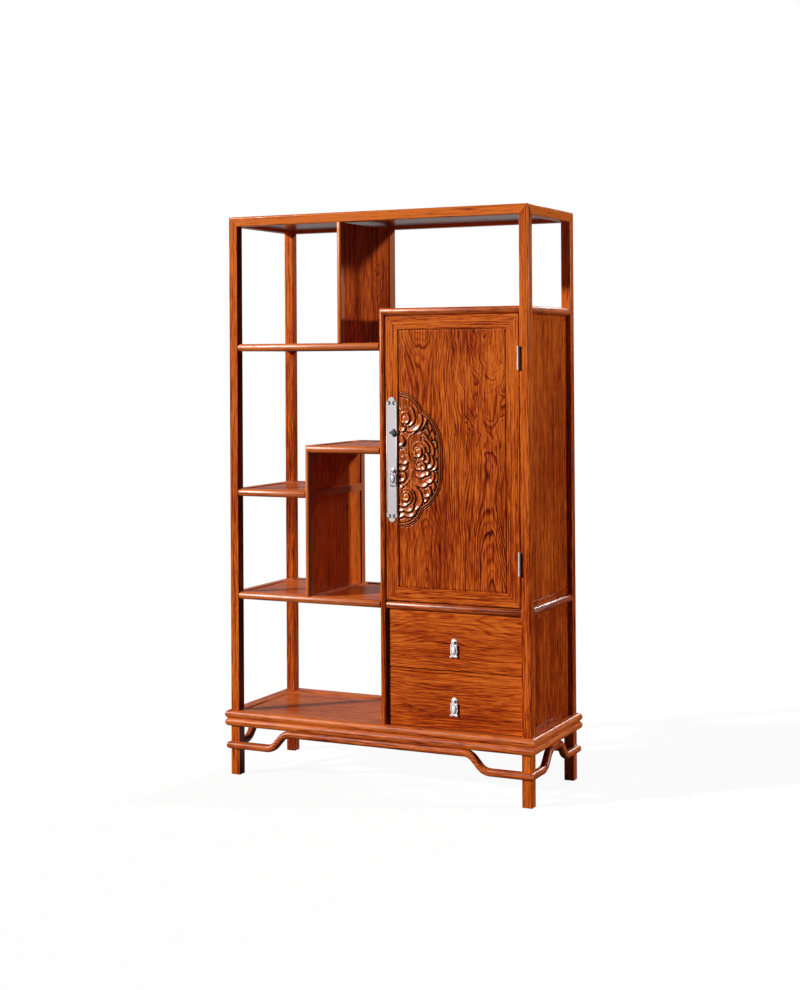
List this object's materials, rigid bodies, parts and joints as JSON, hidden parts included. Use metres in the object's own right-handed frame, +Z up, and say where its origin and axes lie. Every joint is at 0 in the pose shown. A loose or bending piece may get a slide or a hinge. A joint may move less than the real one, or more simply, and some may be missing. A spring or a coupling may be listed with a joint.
{
  "type": "open display cabinet",
  "caption": "Tall hardwood display cabinet with stepped open shelves, one hinged cupboard door, two drawers and a low stand with humpback stretchers.",
  "frame": {"origin": "on the floor, in the middle of the stand's outline", "axes": "+Z up, +X to the right of a person facing the doors, +Y towards the back"},
  "size_m": [1.192, 0.462, 2],
  "materials": {
    "frame_wood": "polished orange-brown rosewood with dark streaks",
    "panel_wood": "polished red-brown rosewood",
    "drawer_wood": "polished rosewood with lengthwise grain",
    "carved_wood": "polished rosewood, carved in low relief",
    "inner_wood": "plain planed wood",
    "white_metal": "satin white metal"
  },
  "bodies": {
    "carcass": {"back_panels": "panel_wood", "base_frame": "frame_wood", "centre_post_front": "frame_wood", "centre_post_rear": "frame_wood", "cupboard_top_frame": "frame_wood", "cupboard_top_panel": "panel_wood", "door_stop": "inner_wood", "drawer_runners": "inner_wood", "floor_panel": "panel_wood", "high_shelf_frame": "frame_wood", "high_shelf_panel": "panel_wood", "hinge_frame_leaves": "white_metal", "hinge_pins": "white_metal", "hump_stretcher_front": "frame_wood", "hump_stretcher_left": "frame_wood", "hump_stretcher_rear": "frame_wood", "hump_stretcher_right": "frame_wood", "inner_partition_frame": "frame_wood", "inner_partition_panels": "panel_wood", "inner_shelves": "inner_wood", "left_side_panels": "panel_wood", "leg_front_left": "frame_wood", "leg_front_right": "frame_wood", "leg_rear_left": "frame_wood", "leg_rear_right": "frame_wood", "low_shelf_frame": "frame_wood", "low_shelf_panel": "panel_wood", "middle_board_frame": "frame_wood", "middle_board_panel": "panel_wood", "middle_shelf_frame": "frame_wood", "middle_shelf_panels": "panel_wood", "post_front_left": "frame_wood", "post_front_right": "frame_wood", "post_rear_left": "frame_wood", "post_rear_right": "frame_wood", "right_side_panels": "panel_wood", "shelf_cleats": "inner_wood", "stand_frame": "frame_wood", "step_shelf_frame": "frame_wood", "step_shelf_panel": "panel_wood", "top_frame": "frame_wood", "top_panel": "panel_wood", "top_partition_panel": "panel_wood", "top_partition_stiles": "frame_wood"},
    "door": {"door_frame": "frame_wood", "door_panel": "carved_wood", "lock_plate": "white_metal", "lock_staple": "white_metal", "door_pull_mount": "white_metal", "hinge_door_leaves": "white_metal"},
    "door_pendant": {"door_pull_pendant": "white_metal"},
    "lower_drawer": {"lower_drawer_front": "drawer_wood", "lower_drawer_box": "inner_wood", "lower_drawer_pull_mount": "white_metal"},
    "lower_pendant": {"lower_drawer_pendant": "white_metal"},
    "upper_drawer": {"upper_drawer_front": "drawer_wood", "upper_drawer_box": "inner_wood", "upper_drawer_pull_mount": "white_metal"},
    "upper_pendant": {"upper_drawer_pendant": "white_metal"}
  },
  "joints": [
    {"name": "door_hinge", "type": "hinge", "parent": "carcass", "child": "door", "pos_m": [0.543, -0.2195, 1.146], "axis": [0, 0, 1], "range_deg": [0, 170]},
    {"name": "door_pull_swing", "type": "hinge", "parent": "door", "child": "door_pendant", "pos_m": [0.077, -0.22, 1.103], "axis": [-1, 0, 0], "range_deg": [0, 85]},
    {"name": "lower_drawer_slide", "type": "slide", "parent": "carcass", "child": "lower_drawer", "axis": [0, -1, 0], "range_m": [0, 0.28]},
    {"name": "lower_pull_swing", "type": "hinge", "parent": "lower_drawer", "child": "lower_pendant", "pos_m": [0.29575, -0.206, 0.33013], "axis": [-1, 0, 0], "range_deg": [0, 85]},
    {"name": "upper_drawer_slide", "type": "slide", "parent": "carcass", "child": "upper_drawer", "axis": [0, -1, 0], "range_m": [0, 0.28]},
    {"name": "upper_pull_swing", "type": "hinge", "parent": "upper_drawer", "child": "upper_pendant", "pos_m": [0.29575, -0.206, 0.52838], "axis": [-1, 0, 0], "range_deg": [0, 85]}
  ]
}
